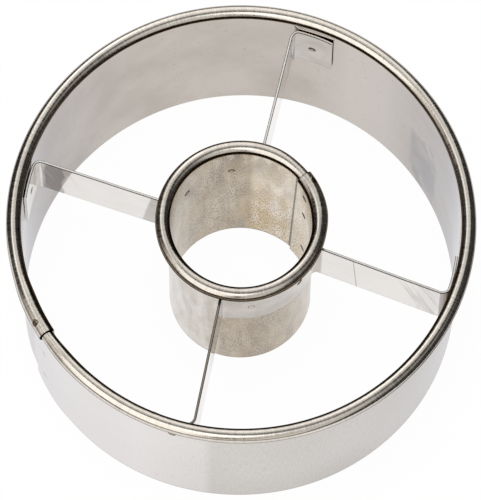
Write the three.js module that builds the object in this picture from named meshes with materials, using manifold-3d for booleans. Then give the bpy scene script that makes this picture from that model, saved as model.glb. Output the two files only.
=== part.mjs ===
// Doughnut cutter in thin stainless steel sheet. A large hoop cuts the outside of the ring of dough and
// a small hoop cuts its hole. Two bent straps, spot-welded to both hoops, hold them on one axis.
// Millimetres, +Z up. The cutting edges lie at z = 0 and the hoops' axis is the Z axis.
import * as THREE from 'three';
import { mergeVertices } from 'three/addons/utils/BufferGeometryUtils.js';
import Module from 'manifold-3d';

const wasm = await Module();
wasm.setup();

// Driving dimensions: the cutter as a whole
const OUTER_DIAMETER = 88.9; // over the rolled rim of the outer hoop
const HOLE_DIAMETER = 27.0; // bore of the inner hoop
const HEIGHT = 39.0; // from the cutting edges to the top of the rims

// Driving dimensions: the hoops
const RING_SHEET = 0.3; // sheet thickness
const BEAD_DIAMETER = 2.8; // outside of the rolled rim's section
const RIM_MOUTH = 0.2; // clear gap between the rolled edge and the wall, in the lap seam
const SEAM_OVERLAP = 7.0; // length of the lap seam round the hoop
const SEAM_GAP = 0.08; // between the two layers of the lap
const SLEEVE_RISE = 0.2; // how far the covering layer of the lap stands out from the plain rim
const SEAM_RAMP = 5.0; // length in which the sheet steps from the plain hoop into the lap
const SEAM_RELIEF = 0.6; // straight stretch between the lap and each step
const OUTER_SEAM = -131.4; // degrees round Z to the visible edge of the outer hoop's lap
const INNER_SEAM = 56.7; // degrees round Z to the visible edge of the inner hoop's lap

// Driving dimensions: the straps
const STRAP_SHEET = 0.5; // sheet thickness
const STRAP_WIDTH = 12.2; // height of the strap, which stands on edge
const STRAP_DROP = 0.3; // from the underside of the rims to the strap's top edge
const BEND_RADIUS = 1.0; // inside of each bend
const FOOT_LENGTH = 8.0; // along the outer hoop, from the leg to the free end
const FRONT_LEG_SPREAD = 39.85; // degrees from the middle of the front-right strap to each of its legs
const BACK_LEG_SPREAD = 42.05; // degrees from the middle of the back-left strap to each of its legs
const FRONT_LEG_OFFSET = 0.93; // how far the lines of the front and right legs pass from the axis
const BACK_LEG_OFFSET = 0.47; // how far the lines of the back and left legs pass from the axis
const FRONT_STRAP_TURN = -45; // degrees round Z to the middle of the front-right strap
const BACK_STRAP_TURN = 135; // degrees round Z to the middle of the back-left strap

// Driving dimensions: the spot welds
const CLEARANCE = 0.3; // between a strap and a hoop, which the weld nuggets bridge
const WELD_DIAMETER = 2.4; // of the welds between straps and hoops
const WELD_SEAT = 0.04; // between a nugget's flat faces and the sheets that it joins
const BAND_WELD_ANGLE = 21; // degrees from the strap's middle to each weld on the inner hoop
const SEAM_WELD_DIAMETER = 2.2; // of the welds in each lap
const SEAM_WELDS = 3; // up the height of each lap
const SEAM_WELD_MARGIN = 6.0; // from the cutting edge and from the rim to the nearest weld

// Fineness of the facets
const OUTER_STEP = 3.33; // degrees round the outer hoop
const INNER_STEP = 5.6; // degrees round the inner hoop
const CURL_STEPS = 11;
const BEND_SEGMENTS = 5;
const WELD_SIDES = 16;

// Finish of the steel
const HOOP_COLOR = 0xcfccc9;
const STRAP_COLOR = 0xdcdad8;
const WELD_COLOR = 0xa8a5a2;

// Values that follow from the driving dimensions
const beadRadius = BEAD_DIAMETER / 2;
const beadHeight = HEIGHT - beadRadius;
const outerWall = OUTER_DIAMETER / 2 - BEAD_DIAMETER;
const innerWall = HOLE_DIAMETER / 2;
const tuckDepth = RING_SHEET + SEAM_GAP - SLEEVE_RISE;
const strapHalf = STRAP_SHEET / 2;
const strapTop = HEIGHT - BEAD_DIAMETER - STRAP_DROP;
const strapBottom = strapTop - STRAP_WIDTH;
const bendRadius = BEND_RADIUS + strapHalf;
const bandRadius = innerWall + RING_SHEET + CLEARANCE + strapHalf;
const footRadius = outerWall - CLEARANCE - strapHalf;

function radians(degrees) {
  return THREE.MathUtils.degToRad(degrees);
}

function steel(color) {
  return new THREE.MeshStandardMaterial({ color, metalness: 1, roughness: 0.22 });
}

function namedMesh(name, geometry, color) {
  const mesh = new THREE.Mesh(geometry, steel(color));
  mesh.name = name;
  return mesh;
}

// Closed solid for joining, with the shared vertices of the geometry merged
function toSolid(geometry) {
  const bare = geometry.clone();
  bare.deleteAttribute('normal');
  bare.deleteAttribute('uv');
  const merged = mergeVertices(bare);
  return new wasm.Manifold(new wasm.Mesh({
    numProp: 3,
    vertProperties: merged.attributes.position.array,
    triVerts: new Uint32Array(merged.index.array),
  }));
}

function toGeometry(solid) {
  const { vertProperties, triVerts } = solid.getMesh();
  const geometry = new THREE.BufferGeometry();
  geometry.setAttribute('position', new THREE.BufferAttribute(vertProperties, 3));
  geometry.setIndex(new THREE.BufferAttribute(triVerts, 1));
  geometry.computeVertexNormals();
  return geometry;
}

// Outline of the hoop's sheet in the radius and height plane: up the wall's outside, along the inside of
// the rolled rim to its edge, back over the rim and down the wall's bore. Grow moves the whole sheet
// towards its bore and the outside of its rim, so that one layer of a lap can cover the other.
function hoopSection(wall, grow) {
  const mouth = tuckDepth + RING_SHEET + RIM_MOUTH - beadRadius;
  const rolledEdge = -Math.acos(mouth / (beadRadius + SLEEVE_RISE));
  const outside = beadRadius + grow;
  const inside = outside - RING_SHEET;
  const curlInside = [];
  const curlOutside = [];
  for (let step = 0; step <= CURL_STEPS; step += 1) {
    const angle = THREE.MathUtils.lerp(Math.PI, rolledEdge, step / CURL_STEPS);
    const across = Math.cos(angle);
    const up = Math.sin(angle);
    const axis = wall + beadRadius;
    curlInside.push(new THREE.Vector2(axis + inside * across, beadHeight + inside * up));
    curlOutside.push(new THREE.Vector2(axis + outside * across, beadHeight + outside * up));
  }
  const bore = new THREE.Vector2(wall - grow, 0);
  const outer = new THREE.Vector2(wall - grow + RING_SHEET, 0);
  return [bore, outer, ...curlInside, ...curlOutside.reverse()];
}

// Places round the hoop where its section is set, from the tucked end of the strip, once round the axis,
// to the edge of the layer that covers that end
function hoopStations(wall, seam, step) {
  const overlap = SEAM_OVERLAP / wall;
  const relief = SEAM_RELIEF / wall;
  const ramp = SEAM_RAMP / wall;
  const tuckedEnd = seam - overlap;
  const lapStart = tuckedEnd + 2 * Math.PI;
  const keys = [
    { angle: tuckedEnd, grow: -tuckDepth },
    { angle: seam + relief, grow: -tuckDepth },
    { angle: seam + relief + ramp, grow: 0 },
    { angle: lapStart - relief - ramp, grow: 0 },
    { angle: lapStart - relief, grow: SLEEVE_RISE },
    { angle: seam + 2 * Math.PI, grow: SLEEVE_RISE },
  ];
  const stations = [keys[0]];
  for (let key = 1; key < keys.length; key += 1) {
    const from = keys[key - 1];
    const to = keys[key];
    const count = Math.ceil((to.angle - from.angle) / step);
    for (let part = 1; part <= count; part += 1) {
      stations.push({
        angle: THREE.MathUtils.lerp(from.angle, to.angle, part / count),
        grow: THREE.MathUtils.lerp(from.grow, to.grow, part / count),
      });
    }
  }
  return stations;
}

// Strip of sheet bent round the Z axis, as one closed body with a flat cap on each end
function hoopStrip(wall, stations) {
  const positions = [];
  const indices = [];
  for (const { angle, grow } of stations) {
    for (const point of hoopSection(wall, grow)) {
      positions.push(point.x * Math.cos(angle), point.x * Math.sin(angle), point.y);
    }
  }
  const section = hoopSection(wall, stations[0].grow);
  const count = section.length;
  const last = stations.length - 1;
  for (let ring = 0; ring < last; ring += 1) {
    for (let corner = 0; corner < count; corner += 1) {
      const next = (corner + 1) % count;
      const here = ring * count;
      const there = here + count;
      indices.push(here + corner, there + corner, here + next);
      indices.push(there + corner, there + next, here + next);
    }
  }
  for (const [a, b, c] of THREE.ShapeUtils.triangulateShape(section, [])) {
    const end = last * count;
    indices.push(a, b, c);
    indices.push(end + a, end + c, end + b);
  }
  const geometry = new THREE.BufferGeometry();
  geometry.setAttribute('position', new THREE.Float32BufferAttribute(positions, 3));
  geometry.setIndex(indices);
  return geometry;
}

// Flat disc whose axis points out from the Z axis
function radialDisc(diameter, from, to, angle, height) {
  const disc = new THREE.CylinderGeometry(diameter / 2, diameter / 2, to - from, WELD_SIDES);
  disc.rotateZ(Math.PI / 2);
  disc.translate((from + to) / 2, 0, height);
  disc.rotateZ(angle);
  return disc;
}

// Hoop closed by its lap seam: the seam's spot welds fuse the middle of one layer to that of the other
function hoop(name, wall, seam, step) {
  let solid = toSolid(hoopStrip(wall, hoopStations(wall, seam, step)));
  const weldAngle = seam - SEAM_OVERLAP / wall / 2;
  const innerLayer = wall - SLEEVE_RISE + RING_SHEET / 2;
  const outerLayer = wall + tuckDepth + RING_SHEET / 2;
  const lowest = SEAM_WELD_MARGIN;
  const highest = HEIGHT - BEAD_DIAMETER - SEAM_WELD_MARGIN;
  for (let weld = 0; weld < SEAM_WELDS; weld += 1) {
    const height = THREE.MathUtils.lerp(lowest, highest, weld / (SEAM_WELDS - 1));
    solid = solid.add(toSolid(radialDisc(SEAM_WELD_DIAMETER, innerLayer, outerLayer, weldAngle, height)));
  }
  return namedMesh(name, toGeometry(solid), HOOP_COLOR);
}

// Where one half of a strap turns, for legs at this spread from its middle, which lies on +X.
// Across is measured square to the leg, and along in the leg's own direction.
function strapTurns(spread, offset) {
  const bandAcross = offset - bendRadius;
  const bandAlong = Math.sqrt((bandRadius + bendRadius) ** 2 - bandAcross ** 2);
  const footAcross = offset + bendRadius;
  const footAlong = Math.sqrt((footRadius - bendRadius) ** 2 - footAcross ** 2);
  return {
    bandReach: bandRadius + bendRadius,
    bandTurn: spread + Math.atan2(bandAcross, bandAlong),
    footReach: footRadius - bendRadius,
    footTurn: spread + Math.atan2(footAcross, footAlong),
    footRoot: spread + Math.asin(offset / footRadius),
  };
}

// The arcs of the strap's centre line from its middle out to a free end, on the side of the positive angles.
// The straight leg is the line between the two bends.
function strapHalfArcs(spread, offset) {
  const { bandReach, bandTurn, footReach, footTurn, footRoot } = strapTurns(spread, offset);
  const square = Math.PI / 2;
  return [
    { reach: bandReach, turn: bandTurn, radius: bendRadius, from: bandTurn + Math.PI, to: spread + square },
    { reach: footReach, turn: footTurn, radius: bendRadius, from: spread - square, to: footTurn },
    { reach: 0, turn: 0, radius: footRadius, from: footTurn, to: footRoot + FOOT_LENGTH / footRadius },
  ];
}

// Adds the left-hand face of one centre-line arc to the outline
function addFace(outline, arc) {
  const leftTurn = arc.to > arc.from;
  const radius = leftTurn ? arc.radius - strapHalf : arc.radius + strapHalf;
  const x = arc.reach * Math.cos(arc.turn);
  const y = arc.reach * Math.sin(arc.turn);
  outline.absarc(x, y, radius, arc.from, arc.to, !leftTurn);
}

// Strap on edge: a band round a quarter of the inner hoop, two legs and two feet along the outer hoop
function strap(name, turn, spread, offset) {
  const ahead = strapHalfArcs(spread, offset);
  const { bandTurn } = strapTurns(spread, offset);
  const band = { reach: 0, turn: 0, radius: bandRadius, from: -bandTurn, to: bandTurn };
  const behind = ahead.map((arc) => ({ ...arc, turn: -arc.turn, from: -arc.to, to: -arc.from })).reverse();
  const there = [...behind, band, ...ahead];
  const back = there.map((arc) => ({ ...arc, from: arc.to, to: arc.from })).reverse();
  const outline = new THREE.Shape();
  for (const arc of [...there, ...back]) {
    addFace(outline, arc);
  }
  const geometry = new THREE.ExtrudeGeometry(outline, {
    depth: STRAP_WIDTH,
    bevelEnabled: false,
    curveSegments: BEND_SEGMENTS,
  });
  const mesh = namedMesh(name, geometry, STRAP_COLOR);
  mesh.position.z = strapBottom;
  mesh.rotation.z = turn;
  return mesh;
}

// Weld nugget in the clearance between two round sheets, flat enough for the facets of the outer one
function weldNugget(name, innerFace, outerFace, facet, angle) {
  const from = innerFace + WELD_SEAT;
  const clear = outerFace * Math.cos(facet / 2) - WELD_SEAT;
  const to = Math.sqrt(clear ** 2 - (WELD_DIAMETER / 2) ** 2);
  const height = (strapBottom + strapTop) / 2;
  return namedMesh(name, radialDisc(WELD_DIAMETER, from, to, angle, height), WELD_COLOR);
}

// The four spot welds of one strap: one on each half of its band and one in the middle of each foot
function strapWelds(turn, spread, offset, ends) {
  const { bandTurn, footRoot } = strapTurns(spread, offset);
  const bandInside = bandRadius - strapHalf;
  const bandFacet = bandTurn / BEND_SEGMENTS;
  const footOutside = footRadius + strapHalf;
  const footWeld = footRoot + FOOT_LENGTH / footRadius / 2;
  const bandWeld = radians(BAND_WELD_ANGLE);
  const welds = [];
  for (const { end, side } of ends) {
    const bandAngle = turn + side * bandWeld;
    const footAngle = turn + side * footWeld;
    const bandName = `${end}_band_weld`;
    const footName = `${end}_foot_weld`;
    welds.push(weldNugget(bandName, innerWall + RING_SHEET, bandInside, bandFacet, bandAngle));
    welds.push(weldNugget(footName, footOutside, outerWall, radians(OUTER_STEP), footAngle));
  }
  return welds;
}

function strapWithWelds(name, turnDegrees, spreadDegrees, offset, ends) {
  const turn = radians(turnDegrees);
  const spread = radians(spreadDegrees);
  return [strap(name, turn, spread, offset), ...strapWelds(turn, spread, offset, ends)];
}

const cutter = new THREE.Group();
cutter.name = 'doughnut_cutter';
cutter.add(hoop('outer_ring', outerWall, radians(OUTER_SEAM), radians(OUTER_STEP)));
cutter.add(hoop('inner_ring', innerWall, radians(INNER_SEAM), radians(INNER_STEP)));
cutter.add(...strapWithWelds('front_right_strap', FRONT_STRAP_TURN, FRONT_LEG_SPREAD, FRONT_LEG_OFFSET, [
  { end: 'front', side: -1 },
  { end: 'right', side: 1 },
]));
cutter.add(...strapWithWelds('back_left_strap', BACK_STRAP_TURN, BACK_LEG_SPREAD, BACK_LEG_OFFSET, [
  { end: 'back', side: -1 },
  { end: 'left', side: 1 },
]));

export default cutter;
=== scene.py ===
import math

import bmesh
import bpy
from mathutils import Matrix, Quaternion, Vector, noise


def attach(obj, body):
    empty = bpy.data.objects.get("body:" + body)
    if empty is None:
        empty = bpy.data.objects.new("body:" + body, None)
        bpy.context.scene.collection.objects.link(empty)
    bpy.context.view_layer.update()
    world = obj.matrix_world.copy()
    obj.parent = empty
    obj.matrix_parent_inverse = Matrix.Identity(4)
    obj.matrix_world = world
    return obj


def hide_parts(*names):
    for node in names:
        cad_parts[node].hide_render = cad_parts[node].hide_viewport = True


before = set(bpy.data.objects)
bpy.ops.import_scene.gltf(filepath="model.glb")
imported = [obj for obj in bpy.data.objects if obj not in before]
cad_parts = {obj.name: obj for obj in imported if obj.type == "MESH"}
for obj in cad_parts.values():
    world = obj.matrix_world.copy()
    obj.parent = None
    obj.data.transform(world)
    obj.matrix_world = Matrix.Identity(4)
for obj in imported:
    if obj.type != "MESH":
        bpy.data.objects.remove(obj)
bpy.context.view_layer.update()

MM = 0.001
SHEET_UV = "sheet"

# The photograph's frame and the camera that fits it
PHOTO_SIZE = (481, 500)
PHOTO_AZIMUTH = 15.35  # degrees round Z from a view along +Y
PHOTO_ELEVATION = 68.67
PHOTO_ROLL = 0.97
PHOTO_DISTANCE = 952.66 * MM
PHOTO_AIM = Vector((-0.62, 2.08, 16.85)) * MM
FOCAL_PIXELS = 4934.1
SENSOR_WIDTH = 36.0  # millimetres, as the camera's settings have it

# The hoops, as in the construction
OUTER_DIAMETER = 88.9 * MM
HOLE_DIAMETER = 27.0 * MM
HEIGHT = 39.0 * MM
RING_SHEET = 0.3 * MM
BEAD_DIAMETER = 2.8 * MM
RIM_MOUTH = 0.2 * MM
SEAM_OVERLAP = 7.0 * MM
SEAM_GAP = 0.08 * MM
SLEEVE_RISE = 0.2 * MM
SEAM_RAMP = 5.0 * MM
SEAM_RELIEF = 0.6 * MM
OUTER_SEAM = -131.4  # degrees round Z
INNER_SEAM = 56.7

# How far the end of the covering sheet strays along the wall, at the cutting edge and at the rim
OUTER_SEAM_LEAN = (0.0, 0.0)
INNER_SEAM_LEAN = (0.58 * MM, -0.88 * MM)
LAP_SHADOW = 0.7 * MM  # width of the painted shadow line beside the edge of a lap
LAP_EDGE = (0.14 * MM, 0.04 * MM)  # distances from the edge over which its painted shade fades in

# The straps, as in the construction, and how far the free ends of their feet spring back
STRAP_SHEET = 0.5 * MM
STRAP_WIDTH = 12.2 * MM
STRAP_DROP = 0.3 * MM
BEND_RADIUS = 1.0 * MM
FOOT_LENGTH = 8.0 * MM
CLEARANCE = 0.3 * MM
STRAPS = {
    "front_right_strap": {
        "turn": -45.0, "spread": 39.85, "offset": 0.93 * MM,
        "ends": ("front", "right"), "flares": (0.1 * MM, 0.1 * MM),
    },
    "back_left_strap": {
        "turn": 135.0, "spread": 42.05, "offset": 0.47 * MM,
        "ends": ("back", "left"), "flares": (0.16 * MM, 0.0),
    },
}
# The third slot holds the painted shade of the rounded corners
STRAP_FACE_SLOT, STRAP_EDGE_SLOT, STRAP_SHADED_CORNER_SLOT = range(3)

# The spot welds, as in the construction
WELD_DIAMETER = 2.4 * MM
BAND_WELD_ANGLE = 21.0  # degrees from the strap's middle

# Marks that welds leave on the faces that show
PRINT_DIAMETER = 1.6 * MM
PRINT_PROUD = 0.02 * MM
PRINT_SUNK = 0.1 * MM
PRINT_SIDES = 24
PRINT_SECTION = ((1.0, -0.3), (0.82, 1.0), (0.6, 0.4), (0.1, 0.2))  # shares of its radius and of its rise
SEAM_PRINT_INSET = 3.6 * MM  # from the end of the covering sheet
INNER_SEAM_PRINTS = (9.0 * MM, 26.0 * MM, 34.6 * MM)  # heights in the small hoop's lap
OUTER_SEAM_PRINTS = (6.0 * MM, 18.0 * MM, 30.0 * MM)
TACK_DIAMETER = 1.5 * MM  # of the tack that holds the rim's sleeve
TACK_PROUD = 0.03 * MM
TACK_INSET = 2.6 * MM
TACK_TILT = 38.0  # degrees outward from the top of the rim

# Values that follow
bead_radius = BEAD_DIAMETER / 2
bead_height = HEIGHT - bead_radius
outer_wall = OUTER_DIAMETER / 2 - BEAD_DIAMETER
inner_wall = HOLE_DIAMETER / 2
tuck_depth = RING_SHEET + SEAM_GAP - SLEEVE_RISE
half_sheet = STRAP_SHEET / 2
strap_top = HEIGHT - BEAD_DIAMETER - STRAP_DROP
strap_bottom = strap_top - STRAP_WIDTH
strap_middle = (strap_top + strap_bottom) / 2
bend_radius = BEND_RADIUS + half_sheet
band_radius = inner_wall + RING_SHEET + CLEARANCE + half_sheet
foot_radius = outer_wall - CLEARANCE - half_sheet

# Fineness of the meshes
WALL_ROWS = 20
CURL_STEPS = 48
OUTER_STEP = 1.0  # degrees
INNER_STEP = 2.0
BAND_STEPS = 24
BEND_STEPS = 10
LEG_STEPS = 28
FOOT_STEPS = 16
EDGE_STEPS = 4
FACE_ROWS = 8
SHARP_ANGLE = 40.0

# Unevenness of the sheets
WALL_WAVE = 0.035 * MM
WALL_WAVE_LENGTH = 16.0 * MM
RIM_HOLD = 0.4  # share of the wall's height, below the rim, over which the waves come in
# A row of a spring gives the lobes round the hoop, their depth at the cutting edge and the first one's place
OUTER_SPRING = ((0, 0.15 * MM, 0.0), (2, 0.3 * MM, 57.0), (3, 0.12 * MM, -30.0))
INNER_SPRING = ((2, 0.05 * MM, 20.0),)
STRAP_EDGE_ROUND = 0.1 * MM
STRAP_EDGE_MARGIN = 0.04 * MM  # flat rim of the strap's faces next to the rounded edges, which takes their painted shade
LEG_WAVE = 0.05 * MM
LEG_WAVE_LENGTH = 9.0 * MM
FOOT_SEAT = 0.2 * MM  # how far the welded feet lean over the clearance to the wall
FLARE_POWER = 3  # of the share of the foot's length, by which its free end springs back

# Crease where the rolled rim starts, on the inner side, with a line of painted shade in it
CREASE_TILT = 66.0  # degrees inward from the top of the rim
CREASE_WIDTH = 9.0
CREASE_DEPTH = 0.03 * MM
CREASE_SHADE = 0.19 * MM  # half the width of the painted shade line that it holds
CREASE_FADE = 0.32 * MM
CREASE_WIDER = 0.62 * MM  # how much wider the painted shade line is in its wide sector
CREASE_WIDE_SECTOR = (-140.0, -10.0, 40.0)  # start, end and blend in degrees round Z
CREASE_SHARE = 0.92
UNDER_SHARE = 0.95
UNDER_TILT = -74.0  # degrees, outward from the top of the rim, where the painted shade under the curl starts
crease_place = bead_height + bead_radius * math.radians(90.0 - CREASE_TILT)
under_place = bead_height + bead_radius * math.radians(90.0 - UNDER_TILT)

# Finish. Lobes give the fineness of a noise, as a count to a metre, or as counts along and across the sheet.
# A share gives the least and the most of a mark, then the noises or places between which it changes. A part
# is how much of a tone comes from its first noise, and a stray how far a ragged edge wanders. A span gives a
# start, an end and a blend, and so does a sector, in degrees round Z.
NOISE_ROUGHNESS = 0.55
NOISE_RANGE = (0.35, 0.65)  # where most values of a noise lie
WHITE = (1.0, 1.0, 1.0)
DIM_GLANCE = (0.3, 0.27, 0.24)  # tints of the steels where they are seen at a shallow angle
COOL_GLANCE = (0.82, 0.82, 0.85)

# Inside of the large hoop, with the relief of both its faces
LARGE_RELIEF = 0.002 * MM
INSIDE_CLOUD_LOBES = 70.0
INSIDE_SMUDGE_LOBES = 330.0
INSIDE_SPECKS = (1500.0, (0.0, 0.35, 0.65, 0.74), (0.22, 0.19, 0.16))  # lobes, share and colour
# Painted brighter reflection in one sector of the bore, in the clear colour
LIT_REFLECTION_SECTOR = (64.0, 76.0, 12.0)
# Painted reflection of a floor shadow, as a darker patch on the bore
MIRRORED_SHADOW_SECTOR = (42.0, 53.0, 1.5)
MIRRORED_SHADOW_SPAN = (3.0 * MM, 22.0 * MM, 1.5 * MM)  # of heights
MIRRORED_SHADOW_LOBES = 160.0
MIRRORED_SHADOW_SHARE = (0.45, 1.0, 0.4, 0.6)
MIRRORED_SHADOW_EDGE_LOBES = 120.0
MIRRORED_SHADOW_EDGE_STRAY = 6.0 * MM

# Outside of the large hoop, with a sector of painted light, in place of a brighter reflection, that fades
# out slowly and then ends in a step
OUTSIDE_GRAIN_LOBES = (2800.0, 420.0)
OUTSIDE_CLOUD_LOBES = 28.0
OUTSIDE_GRAIN_PART = 0.35
OUTSIDE_SPECKS = (1300.0, (0.0, 0.4, 0.69, 0.76), (0.2, 0.17, 0.14))
OUTSIDE_CUT = ((0.5, 0.0, 0.1 * MM, 0.5 * MM), (0.36, 0.29, 0.2))  # share and colour of the lower edge
LIT_SLOW = (-143.0, -101.0, 20.0)
LIT_STEP = (-143.0, -83.5, 2.5)
LIT_STEP_PART = 0.4  # how much of it ends in the step

# Rims
RIM_MARK_LOBES = (2800.0, 90.0)
RIM_CLOUD_LOBES = 130.0
RIM_MARK_PART = 0.6
RIM_EDGE_LOBES = 900.0
RIM_EDGE_STRAY = 0.05 * MM
RIM_RELIEF = 0.0006 * MM
RIM_ROUGHNESS = (0.14, 0.24)
RIM_ANISOTROPY = 0.7
# Painted shade: colour of the crease line, in place of the crease's shadow and dark reflection
CREASE_BLACK = (0.05, 0.035, 0.022)
SLEEVE_EDGE = (0.14 * MM, 0.06 * MM)  # distances from the sleeve's end over which its painted shade line fades in
SLEEVE_SHADOW_SPAN = (-0.3 * MM, 0.05 * MM, 0.12 * MM)  # painted shadow beside the sleeve's end
SLEEVE_BLACK = (0.05, 0.04, 0.03)
# Painted shade: colour under the curl, in place of the gap's shadow and dark reflection
UNDER_BLACK = (0.04, 0.03, 0.022)

# Small hoop
MOTTLE_GRAIN_LOBES = (3600.0, 1300.0)
MOTTLE_GRAIN_TONE = (-0.65, 0.65)
MOTTLE_CLOUD_LOBES = (480.0, 130.0)
MOTTLE_CLOUD_TONE = (0.2, 0.8)
MOTTLE_BAND_LOBES = (300.0, 20.0)
MOTTLE_BAND_TONE = (-0.15, 0.15)
MOTTLE_CUT = ((0.6, 0.0, 0.15 * MM, 0.6 * MM), (0.24, 0.175, 0.115))
MOTTLE_RELIEF = 0.003 * MM
CLEAN_SHARE = (0.5, 1.0)
STAIN_LOBES = (260.0, 90.0)
STAIN_SHARE = (0.0, 1.0, 0.37, 0.58)
STAIN_HEIGHT_SHARE = (1.0, 0.15, 12.0 * MM, 26.0 * MM)
STAIN_LEAST = 0.2
STAIN_SPECK_SHARE = (0.0, 0.85, 0.48, 0.62)
STAIN_SPECK_BROWN = (0.22, 0.16, 0.1)
LAP_BLEND = 0.1 * MM
LAP_SHARE = (0.75, 1.0)
LAP_BLACK = (0.015, 0.01, 0.006)

# Darker brown patches of the small hoop's bore: start and end in degrees, heights, and how much of the brown
# shows. The first, low in the hole, is painted shade
BORE_DARK_PATCHES = (
    ((98.0, 122.0), (0.0, 13.0 * MM), 0.3),
    ((72.0, 125.0), (30.0 * MM, 35.0 * MM), 0.35),
    ((118.0, 134.0), (21.0 * MM, 25.0 * MM), 0.3),
    ((140.0, 200.0), (0.0, 36.0 * MM), 0.14),
)
PATCH_SECTOR_BLEND = 5.0
PATCH_HEIGHT_BLEND = 2.5 * MM
PATCH_EDGE_STRAY = 3.0 * MM
PATCH_BROWN = (0.2, 0.155, 0.11)

# Straps, with reaches as distances along them from their middles, and slants for each length across them
STRIP_LINE_LOBES = (40.0, 2200.0)
STRIP_CLOUD_LOBES = 150.0
STRIP_LINE_PART = 0.5
STRIP_RELIEF = 0.001 * MM
STRIP_ROUGHNESS = (0.03, 0.07)
STRIP_DULL = (0.76, 0.725, 0.7)
STRIP_BRIGHT = (0.83, 0.795, 0.77)
# Darker tone of the band and feet, also used for the painted reflection line and the painted shade on the
# legs
STRIP_DARK = (0.425, 0.385, 0.34)
RIGHT_BAND_REACH = 12.4 * MM  # of the darker part round the small hoop
LEFT_BAND_REACH = 14.2 * MM
LEFT_BAND_SLANT = 0.156
BAND_BLEND = 0.4 * MM
DARK_BAND_SHARE = (0.0, 0.35)
LEG_REACH = 36.4 * MM
# Painted shade at the outer ends of the legs, and streaks of painted reflection there
END_SHADE_SPAN = (32.0 * MM, 35.6 * MM, 0.3 * MM)
END_SHADE_STRAY = 0.4 * MM
STREAK_LOBES = (420.0, 45.0)
STREAK_SHARE = (0.0, 0.7, 0.5, 0.62)
STREAK_REACH_SHARE = (0.0, 1.0, 28.0 * MM, 31.0 * MM)
STREAK_SLANT = 0.48
STREAK_STRAY = 1.2 * MM
REFLECTION_LINE_SPAN = (18.4 * MM, 18.5 * MM, 0.1 * MM)  # of the upright painted reflection line on the right leg
REFLECTION_LINE_SLANT = 0.08
REFLECTION_LINE_SECTOR = (-20.0, 10.0, 3.0)
SHADED_REACH_SHARE = (1.0, 0.0, 20.0 * MM, 24.0 * MM)  # of the painted shade on the front leg
SHADED_SECTOR = (-105.0, -62.0, 3.0)
EDGE_MARK_LOBES = (3000.0, 900.0)
EDGE_DARK_SECTOR = (-100.0, -65.0, 4.0)
EDGE_RELIEF = 0.003 * MM

# Welds
WELD_RAG_LOBES = 2200.0
WELD_RAG_STRAY = 0.08 * MM
WELD_RAG_SHARE = (0.75, 1.0)
WELD_UPPER_SHADE_RISE = (-0.25 * MM, 0.25 * MM)  # heights from the middle over which the upper half darkens, as painted shade
WELD_RELIEF = 0.008 * MM

# Floor, with the share of plain white in what it shows to the camera and in mirrors
FLOOR_REACH = 3.0
FLOOR_DROP = 0.05 * MM
FLOOR_WHITE = 0.92  # of its paint
FLOOR_WHITE_SEEN = 0.97
FLOOR_WHITE_MIRRORED = 0.92
FLOOR_WHITE_FADE = (130.0 * MM, 320.0 * MM)  # distances from the axis over which the white fades in mirrors
FLOOR_FAR_GREY = 0.03
WORLD_GREY = 0.03

# Dark cards beside the object
CARD_DISTANCE = 105.0 * MM
CARD_HEIGHT = 90.0 * MM
CARD_LENGTH = 320.0 * MM
LEFT_CARD_SHIFT = 170.0 * MM  # towards the back
CARD_GREY = 0.05

# Soft boxes: azimuth and elevation in the photograph's frame, width, height, radiance and colour
CREAM = (1.0, 0.98, 0.945)
SAND = (1.0, 0.93, 0.83)
TAN = (1.0, 0.9, 0.77)
PANEL_DISTANCE = 1.0
PANELS = {
    "key": (-37.0, 45.0, 0.9, 1.25, 1.3, CREAM),
    "front": (23.0, 45.0, 0.66, 1.25, 0.6, CREAM),
    "front_right": (66.0, 46.0, 0.62, 0.5, 0.2, SAND),
    "front_left": (-77.0, 36.0, 0.3, 0.5, 0.75, SAND),
    "front_low": (-8.0, 9.0, 1.2, 0.3, 0.7, TAN),
    "left_low": (-70.0, 11.0, 0.8, 0.4, 0.35, TAN),
    "back": (180.0, 33.0, 0.9, 0.8, 1.05, CREAM),
    "back_left": (-148.0, 30.0, 0.4, 0.75, 0.9, CREAM),
    "upper_shade": (190.0, 65.0, 0.95, 0.42, 0.7, CREAM),
    "zenith": (0.0, 90.0, 0.44, 0.44, 0.22, CREAM),
    "left": (-110.0, 60.0, 0.45, 0.4, 0.65, CREAM),
}
FILL_DISTANCE = 1.2
OVERHEAD_FILL = (0.0, 90.0, 0.4, 0.4, 13.0, WHITE)


def smooth_step(value):
    return value * value * (3 - 2 * value)


def mix(a, b, share):
    return a + (b - a) * share


def polar(reach, angle, height=0.0):
    return Vector((reach * math.cos(angle), reach * math.sin(angle), height))


def add_object(name, data):
    made = bpy.data.objects.new(name, data)
    bpy.context.scene.collection.objects.link(made)
    return made


# Meshes: a part is its points, its faces, the faces' corners on the sheet in metres, and the faces' slots


def build_mesh(name, parts, materials):
    """One object from its parts, smooth except at sharp edges."""
    points = []
    faces = []
    corners = []
    slots = []
    for part_points, part_faces, part_corners, part_slots in parts:
        start = len(points)
        points += part_points
        faces += [tuple(start + corner for corner in face) for face in part_faces]
        corners += part_corners
        slots += part_slots
    mesh = bpy.data.meshes.new(name)
    mesh.from_pydata(points, [], faces)
    layer = mesh.uv_layers.new(name=SHEET_UV)
    for corner, place in enumerate(corners):
        layer.data[corner].uv = place
    for material in materials:
        mesh.materials.append(material)
    for polygon, slot in zip(mesh.polygons, slots):
        polygon.material_index = slot
        polygon.use_smooth = True
    work = bmesh.new()
    work.from_mesh(mesh)
    for edge in work.edges:
        edge.smooth = edge.calc_face_angle(0.0) < math.radians(SHARP_ANGLE)
    work.to_mesh(mesh)
    work.free()
    return add_object(name, mesh)


def put_in_place(piece, node):
    """Hands a piece to the frame in place of a node."""
    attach(piece, "root")
    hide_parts(node)


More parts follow.
